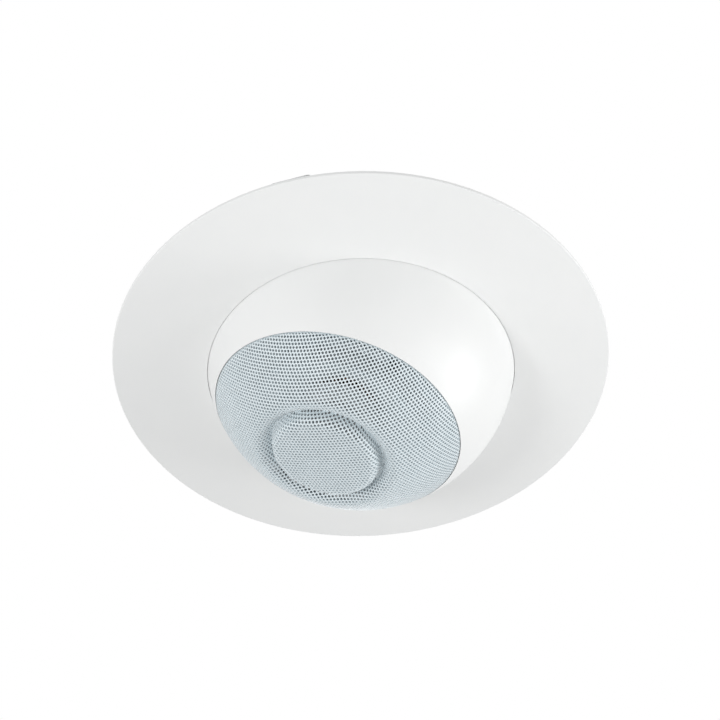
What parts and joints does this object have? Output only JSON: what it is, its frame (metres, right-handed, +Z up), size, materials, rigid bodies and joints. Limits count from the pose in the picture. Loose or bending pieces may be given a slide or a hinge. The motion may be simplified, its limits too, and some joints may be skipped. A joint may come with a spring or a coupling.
{
  "type": "in-ceiling speaker",
  "caption": "Round ceiling speaker: a dished white flange holds an aimable ball with a coaxial driver behind a perforated grille; sprung clips grip the ceiling panel.",
  "frame": {"origin": "centre of the rim's back face, which lies against the ceiling", "axes": "+Z up into the ceiling; the ball's tilt hinge lies along Y"},
  "size_m": [0.208, 0.208, 0.1282],
  "materials": {
    "white_shell": "satin white moulding",
    "grille_steel": "pale grey powder coat",
    "black_plastic": "satin black moulding",
    "grey_plastic": "satin grey moulding",
    "red_plastic": "satin red moulding",
    "zinc_steel": "zinc plated",
    "dark_steel": "black coated steel",
    "ferrite": "sintered ferrite",
    "rubber": "soft grey rubber",
    "foam": "open-cell foam",
    "felt": "pressed felt",
    "cone_paper": "pale coated paper",
    "spider_cloth": "resin-dipped cloth",
    "copper": "enamelled copper",
    "brass": "bare brass",
    "board": "glass-filled board",
    "ceramic": "glazed ceramic",
    "film_yellow": "taped film",
    "silk": "coated silk"
  },
  "bodies": {
    "frame": {"flange": "white_shell", "ceiling_gasket": "foam", "felt_ring": "felt", "retaining_ring": "black_plastic", "retaining_screws": "zinc_steel", "clip_bracket_1": "zinc_steel", "clip_pin_1": "zinc_steel", "clip_spring_1": "zinc_steel", "clip_bracket_2": "zinc_steel", "clip_pin_2": "zinc_steel", "clip_spring_2": "zinc_steel", "clip_bracket_3": "zinc_steel", "clip_pin_3": "zinc_steel", "clip_spring_3": "zinc_steel"},
    "swivel": {"swivel_ring": "black_plastic", "trunnion_bushes": "brass"},
    "ball": {"ball_front_shell": "white_shell", "ball_rear_shell": "white_shell", "shell_seal": "rubber", "shell_screws": "zinc_steel", "trunnion_pins": "zinc_steel", "grille": "grille_steel", "driver_gasket": "foam", "driver_basket": "zinc_steel", "driver_screws": "dark_steel", "surround": "rubber", "spider": "spider_cloth", "top_plate": "zinc_steel", "magnet": "ferrite", "back_plate": "zinc_steel", "tweeter_post": "brass", "tweeter_housing": "grey_plastic", "tweeter_magnet": "ferrite", "tweeter_faceplate": "grey_plastic", "tweeter_dome": "silk", "crossover_board": "board", "board_screws": "zinc_steel", "inductor": "copper", "capacitors": "film_yellow", "resistor": "ceramic", "terminal_cup": "black_plastic", "terminal_screws": "dark_steel", "terminal_contacts": "brass", "damping_foam": "foam"},
    "cone": {"cone": "cone_paper", "voice_coil": "copper"},
    "lever_1": {"terminal_lever_1": "black_plastic"},
    "lever_2": {"terminal_lever_2": "red_plastic"},
    "clip_1": {"clip_arm_1": "zinc_steel", "clip_foot_1": "grey_plastic"},
    "clip_2": {"clip_arm_2": "zinc_steel", "clip_foot_2": "grey_plastic"},
    "clip_3": {"clip_arm_3": "zinc_steel", "clip_foot_3": "grey_plastic"}
  },
  "joints": [
    {"name": "pan", "type": "hinge", "parent": "frame", "child": "swivel", "pos_m": [0, 0, 0], "axis": [0, 0, 1], "range_deg": [-170, 170]},
    {"name": "tilt", "type": "hinge", "parent": "swivel", "child": "ball", "pos_m": [0, 0, 0.004], "axis": [0, 1, 0], "range_deg": [-41, 9]},
    {"name": "cone_travel", "type": "slide", "parent": "ball", "child": "cone", "axis": [-0.2756, 0, -0.9613], "range_m": [-0.002, 0.002], "stiffness_N_per_m": 1500, "deforming": ["surround", "spider"]},
    {"name": "clip_1_swing", "type": "hinge", "parent": "frame", "child": "clip_1", "pos_m": [-0.00489, -0.06998, 0.0301], "axis": [-0.9976, 0.0698, 0], "range_deg": [0, 133], "stiffness_Nm_per_rad": 0.1, "springref_deg": -85.94, "deforming": ["clip_spring_1"]},
    {"name": "clip_2_swing", "type": "hinge", "parent": "frame", "child": "clip_2", "pos_m": [0.06305, 0.03075, 0.0301], "axis": [0.4384, -0.8988, 0], "range_deg": [0, 133], "stiffness_Nm_per_rad": 0.1, "springref_deg": -85.94, "deforming": ["clip_spring_2"]},
    {"name": "clip_3_swing", "type": "hinge", "parent": "frame", "child": "clip_3", "pos_m": [-0.05816, 0.03923, 0.0301], "axis": [0.5592, 0.829, 0], "range_deg": [0, 133], "stiffness_Nm_per_rad": 0.1, "springref_deg": -85.94, "deforming": ["clip_spring_3"]},
    {"name": "lever_1_press", "type": "hinge", "parent": "ball", "child": "lever_1", "pos_m": [0.00915, 0.0065, 0.05476], "axis": [0.9613, 0, -0.2756], "range_deg": [0, 12], "stiffness_Nm_per_rad": 0.05, "springref_deg": -17.19},
    {"name": "lever_2_press", "type": "hinge", "parent": "ball", "child": "lever_2", "pos_m": [0.01914, 0.0065, 0.05189], "axis": [0.9613, 0, -0.2756], "range_deg": [0, 12], "stiffness_Nm_per_rad": 0.05, "springref_deg": -17.19}
  ]
}
